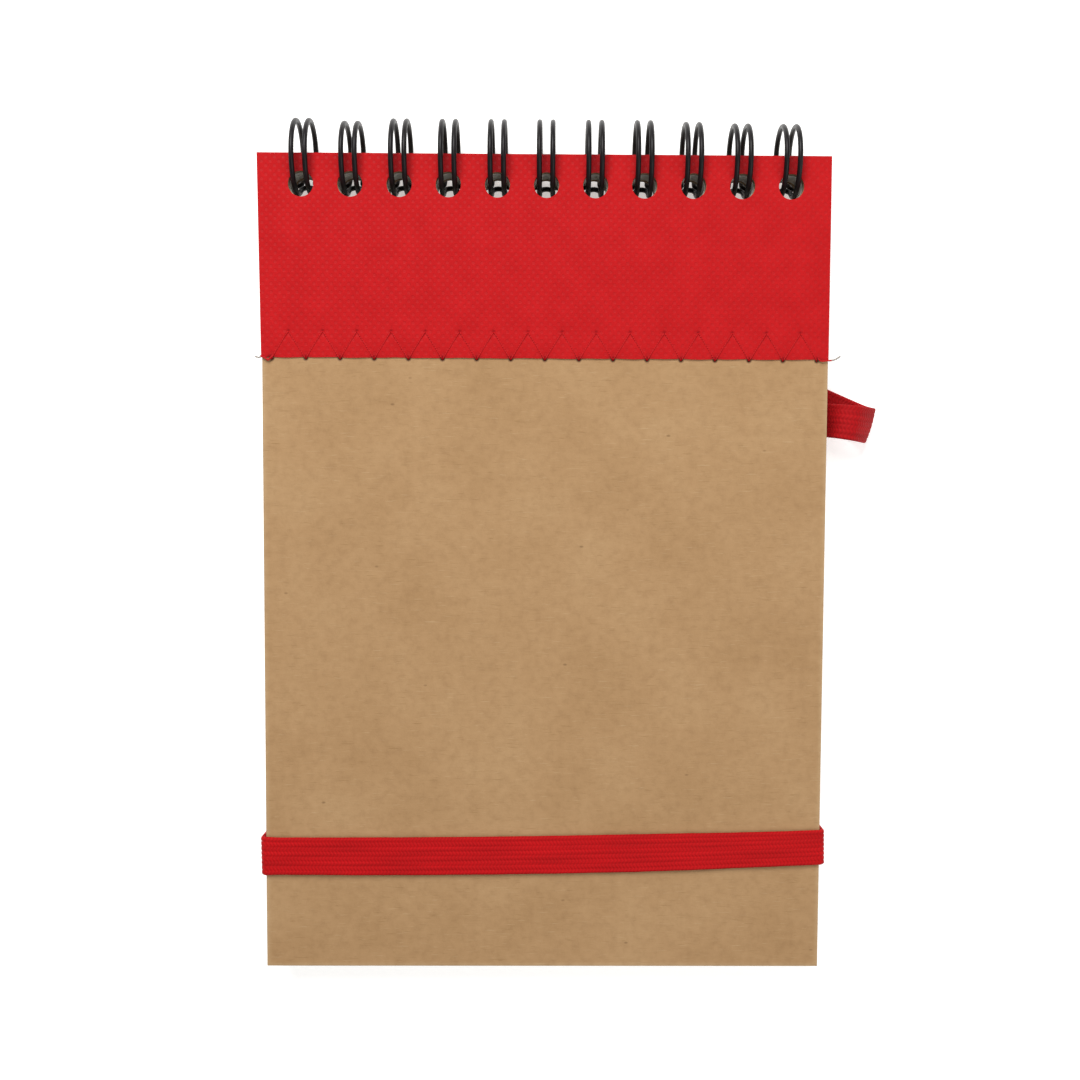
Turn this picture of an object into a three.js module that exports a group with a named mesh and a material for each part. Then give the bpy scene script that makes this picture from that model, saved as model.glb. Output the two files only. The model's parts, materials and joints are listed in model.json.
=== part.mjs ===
// Pocket jotter, bound across the top with double-loop wire, closed and lying on its back.
// Millimetres, +Z up, front board up, wire binding towards +Y. Inside the book group the ring
// axis is y = 0, z = 0, the stack is centred on z = 0 and x = 0 is the middle of the boards.
import * as THREE from 'three';

// Boards and sheets
const boardWidth = 98.5;
const boardLength = 143;
const boardThickness = 1.2;
const sheetThickness = 0.1;
const bundleSheets = [7, 8, 8, 8, 8]; // top to bottom, under the first sheet
const sheetInset = 0.8; // sheets stop short of the boards at the sides and the foot
const sheetGap = 0.06; // air between neighbouring leaves
const fixingGap = 0.7; // room over the back board for the crimps and the loop's inner tab
const seamGap = 0.25; // room under the front board for the seam's lower thread

// Non-woven strip on the front board, and its zigzag seam
const stripLength = 34.9;
const stripThickness = 0.3;
const stitchPitch = 5.93;
const stitchDepth = 4.8; // from the upper row of punctures to the lower one
const stitchBelowStrip = 0.2; // the lower row bites the board just past the strip's edge
const stitchEdgeMargin = 1.65; // from the board's side to the first puncture
const threadRadius = 0.16;
const lowerThreadRadius = 0.09;
const threadGap = 0.03; // between a thread and the face it lies on

// Double-loop wire
const ringOuterDiameter = 13.4;
const wireDiameter = 1.0;
const ringPitch = 25.4 / 3; // three rings to the inch
const ringSideMargin = 6; // from the board's side to the nearest a ring may be centred
const legSpacing = 2.3; // between the two legs of one ring
const legStep = 22.5; // degrees of arc from one section of a leg to the next
const tipShortfall = 0.4; // along the ring, from the middle of a closed tip to the root line's middle
const rootBend = 0.9; // bend radius where a leg leaves the root line
const wireEnd = 1.6; // length of root left beyond the outer legs
const axisRise = 0.05; // the leaves stop this far short of the ring axis
const holeClearance = 0.15; // least distance from the wire to the rim of a hole
const holeTowardsEdge = 0.23; // holes are punched this much nearer the edge than the wire's mean path
const closureClearance = 0.15; // from the root line to the back board when turned against it
const holeSides = 12;

// Elastic closing band
const bandWidth = 6.4;
const bandThickness = 0.7;
const bandFromFoot = 20.7; // middle of the band above the foot of the boards
const bandSlant = 1.0; // degrees, rising to the right
const bandGap = 0.1; // between the band and the boards' faces
const bandSideGap = 0.2; // between the band and the boards' sides
const bandCornerRadius = 0.9;
const bandSeparation = 0.1; // between the moving run and the fixed tails
const tailReach = 10; // from the board's side in to the slot
const slotClearance = 0.2;
const crimpLength = 9.5;
const crimpWidth = 2.2;
const crimpThickness = 0.5;
const crimpGap = 0.05; // under and beside a crimp

// Elastic pen loop, with its tabs either side of the back board
const loopWidth = 5.9;
const loopThickness = 0.5;
const loopFromTop = 45; // middle of the loop below the top of the boards
const loopReach = 9.5; // from the board's side to the outside of the loop
const loopRise = 1.7; // top of the loop above the middle of the stack
const loopFloorGap = 0.3; // between the loop and the surface that the jotter lies on
const loopTabLength = 6;
const loopTabGap = 0.04; // between the tabs and the board
const tackLength = 4.8;
const tackWidth = 1.4;
const tackThickness = 0.2;
const tackFromEdge = 3; // middle of the bar tack in from the board's side

// Levels of the stack, from the underside up
const sheetCounts = [1, ...bundleSheets];
const pagesHeight = sheetCounts.reduce((sum, count) => sum + count * sheetThickness + sheetGap, -sheetGap);
const stackHeight = 2 * boardThickness + fixingGap + pagesHeight + seamGap + stripThickness;
const backBottom = -stackHeight / 2;
const backTop = backBottom + boardThickness;
const frontTop = stackHeight / 2 - stripThickness;
const frontBottom = frontTop - boardThickness;

// Where the wire runs, and the holes that follow from it
const wireRadius = wireDiameter / 2;
const ringRadius = ringOuterDiameter / 2 - wireRadius;
const legHalf = legSpacing / 2;
const faceCrossing = Math.sqrt(ringRadius ** 2 - (stackHeight / 2) ** 2);
const wireReachAtFace = wireRadius * ringRadius / faceCrossing;
const holeFromAxis = (ringRadius + faceCrossing) / 2 - holeTowardsEdge;
const reachAtFace = Math.hypot(legHalf, holeFromAxis - faceCrossing) + wireReachAtFace;
const reachAtMiddle = Math.hypot(legHalf, ringRadius - holeFromAxis) + wireRadius;
const holeRadius = Math.max(reachAtFace, reachAtMiddle) + holeClearance;
const ringCount = Math.floor((boardWidth - 2 * ringSideMargin) / ringPitch) + 1;
const ringX = (i) => (i - (ringCount - 1) / 2) * ringPitch;
const boardTopY = -axisRise;
const boardFootY = boardTopY - boardLength;

// Materials
const matte = (name, color, roughness, metalness = 0) =>
  new THREE.MeshStandardMaterial({ name, color, roughness, metalness });
const kraftBoard = () => matte('kraft_board', 0xb8956c, 0.9);
const redNonWoven = () => matte('red_non_woven', 0xc92528, 0.85);
const redElastic = () => matte('red_elastic', 0xb8191e, 0.8);
const redThread = () => matte('red_thread', 0xa81c22, 0.75);
const recycledPaper = () => matte('recycled_paper', 0xeeebe2, 0.95);
const blackWire = () => matte('black_wire', 0x23191e, 0.35, 0.5);
const tinnedSteel = () => matte('tinned_steel', 0xb9bbbd, 0.35, 0.9);

function piece(name, geometry, material) {
  const mesh = new THREE.Mesh(geometry, material);
  mesh.name = name;
  return mesh;
}

// A path whose corners are exactly the listed points, so a sweep puts one section at each
class CorneredPath extends THREE.Curve {
  constructor(points) {
    super();
    this.points = points;
  }
  getPoint(t, target = new THREE.Vector3()) {
    const along = t * (this.points.length - 1);
    const from = Math.min(Math.floor(along), this.points.length - 2);
    return target.lerpVectors(this.points[from], this.points[from + 1], along - from);
  }
  getUtoTmapping(u) {
    return u;
  }
}

function sweep(points, sectionRadius, sides) {
  const section = new THREE.Shape();
  section.absarc(0, 0, sectionRadius, 0, 2 * Math.PI);
  return new THREE.ExtrudeGeometry(section, {
    steps: points.length - 1,
    curveSegments: sides / 2,
    extrudePath: new CorneredPath(points),
  });
}

// An outline in the XZ plane, made as deep as width along Y and centred on y = 0
function webbing(outline, width) {
  const geometry = new THREE.ExtrudeGeometry(new THREE.Shape(outline), {
    depth: width,
    bevelEnabled: false,
    curveSegments: 4,
  });
  return geometry.rotateX(Math.PI / 2).translate(0, width / 2, 0);
}

// The outline of a flat strip that follows a middle line at an even thickness
function stripOutline(middle, thickness) {
  const sides = middle.map((point, i) => {
    const before = middle[Math.max(i - 1, 0)];
    const after = middle[Math.min(i + 1, middle.length - 1)];
    const along = new THREE.Vector2().subVectors(after, before).normalize();
    return new THREE.Vector2(-along.y, along.x).multiplyScalar(thickness / 2);
  });
  const left = middle.map((point, i) => point.clone().add(sides[i]));
  const right = middle.map((point, i) => point.clone().sub(sides[i]));
  return [...left, ...right.reverse()];
}

// A flat leaf with the row of binding holes, its underside at the given level
function leaf(name, width, length, thickness, bottom, material, slots = []) {
  const outline = new THREE.Shape();
  outline.moveTo(-width / 2, boardTopY);
  outline.lineTo(-width / 2, boardTopY - length);
  outline.lineTo(width / 2, boardTopY - length);
  outline.lineTo(width / 2, boardTopY);
  outline.closePath();
  for (let i = 0; i < ringCount; i++) {
    outline.holes.push(new THREE.Path().absarc(ringX(i), -holeFromAxis, holeRadius, 0, 2 * Math.PI, true));
  }
  outline.holes.push(...slots);
  const geometry = new THREE.ExtrudeGeometry(outline, {
    depth: thickness,
    bevelEnabled: false,
    curveSegments: holeSides / 2,
  });
  const mesh = piece(name, geometry, material);
  mesh.position.z = bottom;
  return mesh;
}

// Closing band: shared places, in a frame centred on the band and turned with its slant
const bandY = boardFootY + bandFromFoot;
const slotX = boardWidth / 2 - tailReach;
const bandInnerX = boardWidth / 2 + bandSideGap;
const bandOuterX = bandInnerX + bandThickness;
const runBottom = frontTop + bandGap;
const runTop = runBottom + bandThickness;
const tailTop = backBottom - bandGap;
const tailBottom = tailTop - bandThickness;

function bandPlaced(mesh) {
  mesh.position.y = bandY;
  mesh.rotation.z = THREE.MathUtils.degToRad(bandSlant);
  return mesh;
}

function slotPath(side) {
  const halfX = bandThickness / 2 + slotClearance;
  const halfY = bandWidth / 2 + slotClearance;
  const turn = THREE.MathUtils.degToRad(bandSlant);
  const corners = [[-halfX, -halfY], [-halfX, halfY], [halfX, halfY], [halfX, -halfY]];
  const placed = corners.map(([x, y]) =>
    new THREE.Vector2(side * slotX + x, y).rotateAround(new THREE.Vector2(), turn).add(new THREE.Vector2(0, bandY)));
  return new THREE.Path(placed);
}

function backBoard() {
  const slots = [slotPath(-1), slotPath(1)];
  return leaf('back_cover', boardWidth, boardLength, boardThickness, backBottom, kraftBoard(), slots);
}

function frontBoard() {
  return leaf('front_cover', boardWidth, boardLength, boardThickness, frontBottom, kraftBoard());
}

function coverStrip() {
  return leaf('cover_strip', boardWidth, stripLength, stripThickness, frontTop, redNonWoven());
}

function pageBlock() {
  const width = boardWidth - 2 * sheetInset;
  const length = boardLength - sheetInset;
  const leaves = [];
  let top = frontBottom - seamGap;
  sheetCounts.forEach((count, i) => {
    const thickness = count * sheetThickness;
    const name = i === 0 ? 'first_sheet' : `page_bundle_${i}`;
    leaves.push(leaf(name, width, length, thickness, top - thickness, recycledPaper()));
    top -= thickness + sheetGap;
  });
  return leaves;
}

// One zigzag of thread lying at the given height, from the lower row to the upper and back
function seamThread(name, height, radius) {
  const periods = Math.floor((boardWidth - 2 * stitchEdgeMargin) / stitchPitch);
  const lowerY = boardTopY - stripLength - stitchBelowStrip;
  const startX = -boardWidth / 2 + stitchEdgeMargin;
  const points = [];
  for (let i = 0; i <= 2 * periods; i++) {
    points.push(new THREE.Vector3(startX + i * stitchPitch / 2, lowerY + (i % 2) * stitchDepth, height));
  }
  return piece(name, sweep(points, radius, 6), redThread());
}

// The binding is one wire: from the root line each ring's two legs run round to a closed tip
function bindingWire() {
  const onRing = (x, angle) => new THREE.Vector3(x, ringRadius * Math.cos(angle), ringRadius * Math.sin(angle));
  const rad = THREE.MathUtils.degToRad;
  const rootHeight = stackHeight / 2 + wireRadius + closureClearance;
  const rootAngle = Math.asin(rootHeight / ringRadius) - Math.PI;
  const tipAngle = rootAngle + 2 * Math.PI - tipShortfall / ringRadius;
  const legFrom = rootAngle + rootBend / ringRadius;
  const legTo = tipAngle - legHalf / ringRadius;
  const legSections = Math.ceil((legTo - legFrom) / rad(legStep));
  const legAngles = Array.from({ length: legSections + 1 }, (_, i) => legFrom + (legTo - legFrom) * i / legSections);
  const points = [onRing(ringX(0) - legHalf - rootBend - wireEnd, rootAngle)];
  for (let i = 0; i < ringCount; i++) {
    const x = ringX(i);
    const rootCorner = (side) => [0, 1, 2].map((k) => {
      const a = k * Math.PI / 4;
      const across = legHalf + rootBend * (1 - Math.sin(a));
      return onRing(x + side * across, rootAngle + rootBend * (1 - Math.cos(a)) / ringRadius);
    });
    points.push(...rootCorner(-1));
    points.push(...legAngles.slice(1).map((angle) => onRing(x - legHalf, angle)));
    for (const a of [0.25, 0.5, 0.75].map((share) => share * Math.PI)) {
      points.push(onRing(x - legHalf * Math.cos(a), legTo + legHalf * Math.sin(a) / ringRadius));
    }
    points.push(...[...legAngles].reverse().slice(0, -1).map((angle) => onRing(x + legHalf, angle)));
    points.push(...rootCorner(1).reverse());
  }
  points.push(onRing(ringX(ringCount - 1) + legHalf + rootBend + wireEnd, rootAngle));
  return piece('binding_wire', sweep(points, wireRadius, 6), blackWire());
}

// The part of the band that is pulled off: the run over the front board and its two sides
function elasticBand() {
  const radius = bandCornerRadius;
  const inner = radius - bandThickness;
  const legFoot = tailTop + bandSeparation;
  const corner = (x, z, r, from, to) => Array.from({ length: 5 }, (_, i) => {
    const a = from + (to - from) * i / 4;
    return new THREE.Vector2(x + r * Math.cos(a), z + r * Math.sin(a));
  });
  const cornerX = bandOuterX - radius;
  const cornerZ = runTop - radius;
  const outline = [
    new THREE.Vector2(bandOuterX, legFoot),
    ...corner(cornerX, cornerZ, radius, 0, Math.PI / 2),
    ...corner(-cornerX, cornerZ, radius, Math.PI / 2, Math.PI),
    new THREE.Vector2(-bandOuterX, legFoot),
    new THREE.Vector2(-bandInnerX, legFoot),
    ...corner(-cornerX, cornerZ, inner, Math.PI, Math.PI / 2),
    ...corner(cornerX, cornerZ, inner, Math.PI / 2, 0),
    new THREE.Vector2(bandInnerX, legFoot),
  ];
  return bandPlaced(piece('elastic_band', webbing(outline, bandWidth), redElastic()));
}

// A fixed end of the band: round the board's lower edge, along the board and up into the slot
function bandTail(name, side) {
  const half = bandThickness / 2;
  const bend = bandCornerRadius;
  const cut = bend * (1 - Math.SQRT1_2);
  const outline = [
    [slotX - half, backTop],
    [slotX - half, tailBottom + half],
    [slotX, tailBottom],
    [bandOuterX - bend, tailBottom],
    [bandOuterX - cut, tailBottom + cut],
    [bandOuterX, tailTop],
    [slotX + half, tailTop],
    [slotX + half, backTop],
  ];
  const placed = outline.map(([x, z]) => new THREE.Vector2(side * x, z));
  return bandPlaced(piece(name, webbing(placed, bandWidth), redElastic()));
}

// The crimp pressed over a tail's end, longer than the slot so that the tail can't pull out
function bandCrimp(name, side) {
  const half = crimpLength / 2 - crimpWidth / 2;
  const outline = new THREE.Shape();
  outline.absarc(0, half, crimpWidth / 2, 0, Math.PI);
  outline.absarc(0, -half, crimpWidth / 2, Math.PI, 2 * Math.PI);
  outline.closePath();
  const geometry = new THREE.ExtrudeGeometry(outline, {
    depth: crimpThickness,
    bevelEnabled: false,
    curveSegments: 4,
  });
  geometry.translate(side * slotX, 0, backTop + crimpGap);
  return bandPlaced(piece(name, geometry, tinnedSteel()));
}

// How far the book tips so that the rings and the tails both touch the surface it lies on
const tailEdge = new THREE.Vector2(bandY - bandWidth / 2, tailBottom);
const restTilt = Math.asin(ringOuterDiameter / 2 / tailEdge.length()) - Math.asin(-tailEdge.y / tailEdge.length());

const loopY = boardTopY - loopFromTop;

// Pen loop: the upper tab lies on the back board, the lower one under it, the bow stands beyond
function penLoop() {
  const edge = boardWidth / 2;
  const half = loopThickness / 2;
  const floorAtLoop = -ringOuterDiameter / 2 - (loopY - loopWidth / 2) * Math.tan(restTilt);
  const upper = backTop + loopTabGap + half;
  const lower = backBottom - loopTabGap - half;
  const outer = edge + loopReach - half;
  const crown = loopRise - half;
  const keel = floorAtLoop + loopFloorGap + half;
  const bow = new THREE.CatmullRomCurve3([
    [edge + 0.2, upper],
    [edge + 0.16 * loopReach, 0.45 * crown + 0.55 * upper],
    [edge + 0.34 * loopReach, crown - 0.1],
    [edge + 0.62 * loopReach, crown],
    [outer - 0.05 * loopReach, 0.6 * crown + 0.4 * keel],
    [outer, 0.4 * crown + 0.6 * keel],
    [outer - 0.14 * loopReach, 0.06 * crown + 0.94 * keel],
    [edge + 0.5 * loopReach, keel],
    [edge + 0.22 * loopReach, keel + 0.1],
    [edge + 0.04 * loopReach, lower],
  ].map(([x, z]) => new THREE.Vector3(x, z, 0)));
  const middle = [
    new THREE.Vector2(edge - loopTabLength, upper),
    ...bow.getPoints(27).map((p) => new THREE.Vector2(p.x, p.y)),
    new THREE.Vector2(edge - loopTabLength, lower),
  ];
  const mesh = piece('pen_loop', webbing(stripOutline(middle, loopThickness), loopWidth), redElastic());
  mesh.position.y = loopY;
  return mesh;
}

// The bar tack that holds the tabs: a bar of close thread on the lower tab
function loopTack() {
  const outline = new THREE.Shape();
  const halfLength = tackLength / 2;
  const halfWidth = tackWidth / 2;
  const cut = 0.4 * halfWidth;
  outline.moveTo(-halfWidth + cut, -halfLength);
  outline.lineTo(halfWidth - cut, -halfLength);
  outline.lineTo(halfWidth, -halfLength + cut);
  outline.lineTo(halfWidth, halfLength - cut);
  outline.lineTo(halfWidth - cut, halfLength);
  outline.lineTo(-halfWidth + cut, halfLength);
  outline.lineTo(-halfWidth, halfLength - cut);
  outline.lineTo(-halfWidth, -halfLength + cut);
  outline.closePath();
  const geometry = new THREE.ExtrudeGeometry(outline, { depth: tackThickness, bevelEnabled: false });
  const mesh = piece('loop_tack', geometry, redThread());
  const lowerTabBottom = backBottom - loopTabGap - loopThickness;
  mesh.position.set(boardWidth / 2 - tackFromEdge, loopY, lowerTabBottom - threadGap - tackThickness);
  return mesh;
}

const book = new THREE.Group();
book.add(
  backBoard(),
  ...pageBlock(),
  frontBoard(),
  coverStrip(),
  seamThread('seam_upper_thread', stackHeight / 2 + threadGap + threadRadius, threadRadius),
  seamThread('seam_lower_thread', frontBottom - threadGap - lowerThreadRadius, lowerThreadRadius),
  bindingWire(),
  elasticBand(),
  bandTail('band_tail_left', -1),
  bandTail('band_tail_right', 1),
  bandCrimp('band_crimp_left', -1),
  bandCrimp('band_crimp_right', 1),
  penLoop(),
  loopTack(),
);
book.rotation.x = restTilt;

// The jotter stands on z = 0, with x = 0 and y = 0 at the middle of its box
const jotter = new THREE.Group();
jotter.add(book);
jotter.updateMatrixWorld(true);
const box = new THREE.Box3().setFromObject(jotter, true);
const middle = box.getCenter(new THREE.Vector3());
book.position.set(-middle.x, -middle.y, -box.min.z);

export default jotter;
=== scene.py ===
import json
import math
import random

import bpy
import numpy as np
from mathutils import Matrix, Vector
from mathutils.geometry import tessellate_polygon


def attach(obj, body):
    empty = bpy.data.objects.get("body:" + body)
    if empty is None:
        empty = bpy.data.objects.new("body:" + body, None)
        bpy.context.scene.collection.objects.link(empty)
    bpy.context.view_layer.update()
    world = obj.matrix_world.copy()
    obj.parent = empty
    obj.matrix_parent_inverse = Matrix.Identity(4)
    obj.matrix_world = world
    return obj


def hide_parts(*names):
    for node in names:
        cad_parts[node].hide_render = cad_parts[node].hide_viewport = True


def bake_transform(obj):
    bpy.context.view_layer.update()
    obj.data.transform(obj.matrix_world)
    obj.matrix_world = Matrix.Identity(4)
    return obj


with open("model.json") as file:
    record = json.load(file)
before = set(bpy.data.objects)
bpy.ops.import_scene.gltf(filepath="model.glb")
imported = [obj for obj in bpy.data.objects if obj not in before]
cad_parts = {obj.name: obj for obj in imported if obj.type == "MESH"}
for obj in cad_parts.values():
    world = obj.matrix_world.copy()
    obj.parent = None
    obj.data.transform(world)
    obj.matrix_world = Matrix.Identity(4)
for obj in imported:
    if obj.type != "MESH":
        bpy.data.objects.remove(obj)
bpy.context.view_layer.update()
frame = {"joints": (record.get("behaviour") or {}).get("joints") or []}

# Lengths are in millimetres in the book's own frame: the ring axis is y = 0 and z = 0, x = 0 is the
# middle of the boards, the front board is up and the rings are towards +y. place() takes them to the frame.
joints = {joint["name"]: joint for joint in frame["joints"]}
ringAxis = Vector(joints["wire_turn"]["pos_m"])
bookX = Vector((1, 0, 0))
bookY = -Vector(joints["closing_band_slip"]["axis"])
bookTurn = Matrix((bookX, bookY, bookX.cross(bookY))).transposed()

book = {
    "boardWidth": 98.5,
    "boardLength": 143.0,
    "boardThickness": 1.2,
    "boardTop": -0.05,
    "backBottom": -3.975,
    "frontBottom": 2.475,
    "frontTop": 3.675,
    "stripTop": 3.975,
    "stripLength": 34.9,
    "ringPitch": 25.4 / 3,
    "rings": 11,
    "holeFromAxis": 5.249,
    "holeRadius": 2.142,
}
halfWidth = book["boardWidth"] / 2
boardFoot = book["boardTop"] - book["boardLength"]
ringXs = [(i - (book["rings"] - 1) / 2) * book["ringPitch"] for i in range(book["rings"])]


def place(points):
    # from the book's millimetres to the frame's metres
    points = np.asarray(points, float).reshape(-1, 3)
    return points @ np.array(bookTurn).T * 0.001 + np.array(ringAxis)


def linear(hexColour):
    # an sRGB hex colour as linear light
    channels = [int(hexColour[i:i + 2], 16) / 255 for i in (0, 2, 4)]
    return [c / 12.92 if c <= 0.04045 else ((c + 0.055) / 1.055) ** 2.4 for c in channels] + [1]


def add(mat, kind, inputs=None, stops=None, **settings):
    # one node: its settings, its input values or links, and a ramp's stops
    made = mat.node_tree.nodes.new("ShaderNode" + kind)
    for name, value in settings.items():
        setattr(made, name, value)
    if stops:
        ramp = made.color_ramp.elements
        while len(ramp) < len(stops):
            ramp.new(0.5)
        for element, (position, colour) in zip(ramp, stops):
            element.position = position
            element.color = linear(colour)
    for name, value in (inputs or {}).items():
        socket = made.inputs[name]
        if isinstance(value, bpy.types.NodeSocket):
            mat.node_tree.links.new(value, socket)
        else:
            socket.default_value = value
    return made


def newMaterial(name):
    mat = bpy.data.materials.new(name)
    mat.use_nodes = True
    mat.node_tree.nodes.clear()
    return mat


def surface(mat, colour, roughness, height, depthMm, **values):
    # the shader itself, with a bump whose full height is depthMm
    bump = add(mat, "Bump", {"Height": height, "Distance": depthMm * 0.001, "Strength": 1.0})
    shader = add(mat, "BsdfPrincipled",
                 {"Base Color": colour, "Roughness": roughness, "Normal": bump.outputs[0]})
    for name, value in values.items():
        shader.inputs[name].default_value = value
    add(mat, "OutputMaterial", {"Surface": shader.outputs[0]})
    return mat


def inMm(mat, turn=0.0, stretch=(1, 1, 1), shift=(0, 0, 0)):
    # millimetres over the surface, stretched and then turned by so many degrees
    flat = add(mat, "UVMap", uv_map="mm")
    return add(mat, "Mapping", {"Vector": flat.outputs[0], "Location": shift, "Scale": stretch,
                                "Rotation": (0, 0, math.radians(turn))}).outputs[0]


def makeMesh(name, points, faces, materials, uv, faceMaterial=None, marks=None, sharp=40):
    mesh = bpy.data.meshes.new(name)
    mesh.from_pydata(place(points).tolist(), [], faces)
    for mat in materials:
        mesh.materials.append(mat)
    if faceMaterial is not None:
        mesh.polygons.foreach_set("material_index", np.asarray(faceMaterial, np.int32))
    uv = np.asarray(uv, float)
    if len(uv) != len(mesh.loops):
        corner = np.empty(len(mesh.loops), np.int32)
        mesh.loops.foreach_get("vertex_index", corner)
        uv = uv[corner]
    mesh.uv_layers.new(name="mm").data.foreach_set("uv", uv.ravel())
    for key, values in (marks or {}).items():
        mesh.attributes.new(key, "FLOAT", "POINT").data.foreach_set("value", np.asarray(values, np.float32))
    mesh.shade_smooth()
    mesh.set_sharp_from_angle(angle=math.radians(sharp))
    mesh.update()
    made = bpy.data.objects.new(name, mesh)
    bpy.context.scene.collection.objects.link(made)
    return made


def gridLines(low, high, coarse, zones=()):
    # coarse lines all over, and finer ones round each (centre, reach, step)
    lines = list(np.linspace(low, high, max(2, round((high - low) / coarse) + 1)))
    for centre, reach, step in zones:
        finer = np.arange(-reach, reach + step / 2, step) + centre
        finer = [v for v in finer if low + 0.3 * step < v < high - 0.3 * step]
        if finer:
            start, end = finer[0] - 0.3 * step, finer[-1] + 0.3 * step
            lines = [v for v in lines if v in (low, high) or not start <= v <= end]
            lines += finer
    return np.array(sorted(lines))


# A hole is two functions: which points it holds, and where on its rim a point near it belongs.
def roundHole(x, y, radius):
    def holds(px, py):
        return np.hypot(px - x, py - y) < radius

    def rim(px, py):
        far = np.maximum(np.hypot(px - x, py - y), 1e-6)
        return x + (px - x) / far * radius, y + (py - y) / far * radius

    return holds, rim


def slotHole(x, y, halfX, halfY, turn):
    c, s = math.cos(turn), math.sin(turn)
    cornerReach = 0.12  # a point this near to both sides goes to the corner

    def inside(px, py):
        return (px - x) * c + (py - y) * s, (py - y) * c - (px - x) * s

    def holds(px, py):
        u, v = inside(px, py)
        return (abs(u) < halfX) & (abs(v) < halfY)

    def rim(px, py):
        u, v = inside(px, py)
        toSide, toEnd = abs(abs(u) - halfX), abs(abs(v) - halfY)
        u = np.where(toSide <= np.maximum(toEnd, cornerReach), np.sign(u) * halfX, u)
        v = np.where(toEnd <= np.maximum(toSide, cornerReach), np.sign(v) * halfY, v)
        return x + u * c - v * s, y + u * s + v * c

    return holds, rim


def slab(name, xs, ys, top, bottom, cuts, rounding, materials, wearAndShade=None, bend=None):
    # a flat piece on a grid: top(x, y) and bottom(x, y) are its faces, cuts go right through it, and every
    # edge is rounded. The second material is on the cut edges; bend(x, y) moves points in plan.
    gx, gy = np.meshgrid(xs, ys, indexing="ij")
    nx, ny = gx.shape
    midX = (gx[:-1, :-1] + gx[1:, 1:]) / 2
    midY = (gy[:-1, :-1] + gy[1:, 1:]) / 2
    kept = np.ones(midX.shape, bool)

    def cornersOf(cells):
        mask = np.zeros((nx, ny), bool)
        for i in (0, 1):
            for j in (0, 1):
                mask[i:nx - 1 + i, j:ny - 1 + j] |= cells
        return mask

    for holds, rim in cuts:
        removed = holds(midX, midY)
        kept &= ~removed
        edge = cornersOf(removed) & cornersOf(kept)
        gx[edge], gy[edge] = rim(gx[edge], gy[edge])
    used = cornersOf(kept)
    index = np.full((nx, ny), -1)
    index[used] = np.arange(used.sum())
    x, y = gx[used], gy[used]
    count = len(x)
    i, j = np.nonzero(kept)
    a, b, c, d = index[i, j], index[i + 1, j], index[i + 1, j + 1], index[i, j + 1]
    topFaces = np.stack([a, b, c, d], 1)
    bottomFaces = np.stack([d, c, b, a], 1) + count
    padded = np.pad(kept, 1)
    rimEdges = []
    for di, dj, start, end in ((0, -1, a, b), (1, 0, b, c), (0, 1, c, d), (-1, 0, d, a)):
        free = ~padded[i + 1 + di, j + 1 + dj]
        rimEdges.append(np.stack([start[free], end[free]], 1))
    rimEdges = np.concatenate(rimEdges)
    out = np.zeros((count, 2))
    along = np.stack([x[rimEdges[:, 1]] - x[rimEdges[:, 0]], y[rimEdges[:, 1]] - y[rimEdges[:, 0]]], 1)
    normal = np.stack([along[:, 1], -along[:, 0]], 1) / np.maximum(np.hypot(*along.T), 1e-9)[:, None]
    for side in (0, 1):
        np.add.at(out, rimEdges[:, side], normal)
    size = np.maximum(np.hypot(*out.T), 1e-9)
    mitreLimit = 0.6
    out = out / size[:, None] / np.maximum(size / 2, mitreLimit)[:, None]
    rimIds = np.unique(rimEdges)
    slotOf = np.full(count, -1)
    slotOf[rimIds] = np.arange(len(rimIds))
    topZ, bottomZ = top(x, y), bottom(x, y)
    steps = [math.radians(v) for v in (30, 60, 90)] if rounding else []
    levels = [(rounding * math.sin(t), rounding * (1 - math.cos(t)), 0) for t in steps]
    levels += [(o, dz, 1) for o, dz, _ in reversed(levels)]
    points = [np.stack([x, y, topZ], 1), np.stack([x, y, bottomZ], 1)]
    depth = [np.ones(count), np.zeros(count)]
    for outward, dz, low in levels:
        z = (bottomZ + dz if low else topZ - dz)[rimIds]
        rimX, rimY = x[rimIds] + out[rimIds, 0] * outward, y[rimIds] + out[rimIds, 1] * outward
        points.append(np.stack([rimX, rimY, z], 1))
        thick = (topZ - bottomZ)[rimIds]
        depth.append((z - bottomZ[rimIds]) / thick)
    rows = [rimEdges] + [slotOf[rimEdges] + 2 * count + k * len(rimIds) for k in range(len(levels))]
    rows.append(rimEdges + count)
    walls = [np.stack([u[:, 0], v[:, 0], v[:, 1], u[:, 1]], 1) for u, v in zip(rows[:-1], rows[1:])]
    points = np.concatenate(points)
    if bend:
        points[:, 0], points[:, 1] = bend(points[:, 0], points[:, 1])
    faces = np.concatenate([topFaces, bottomFaces, *walls])
    soft = 2 if rounding else 0  # the first and last rounded rows belong to the faces
    edgeRows = [1 if soft <= k < len(walls) - soft or not rounding else 0 for k in range(len(walls))]
    wallMaterial = [np.full(len(wall), which) for wall, which in zip(walls, edgeRows)]
    faceMaterial = np.concatenate([np.zeros(2 * len(topFaces)), *wallMaterial])
    base = np.zeros(count) if wearAndShade is None else wearAndShade(x, y)
    worn = np.concatenate([base, base] + [base[rimIds]] * len(levels))
    return makeMesh(name, points, faces.tolist(), materials, points[:, :2], faceMaterial,
                    {"wearAndShade": worn, "depth": np.concatenate(depth)})


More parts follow.
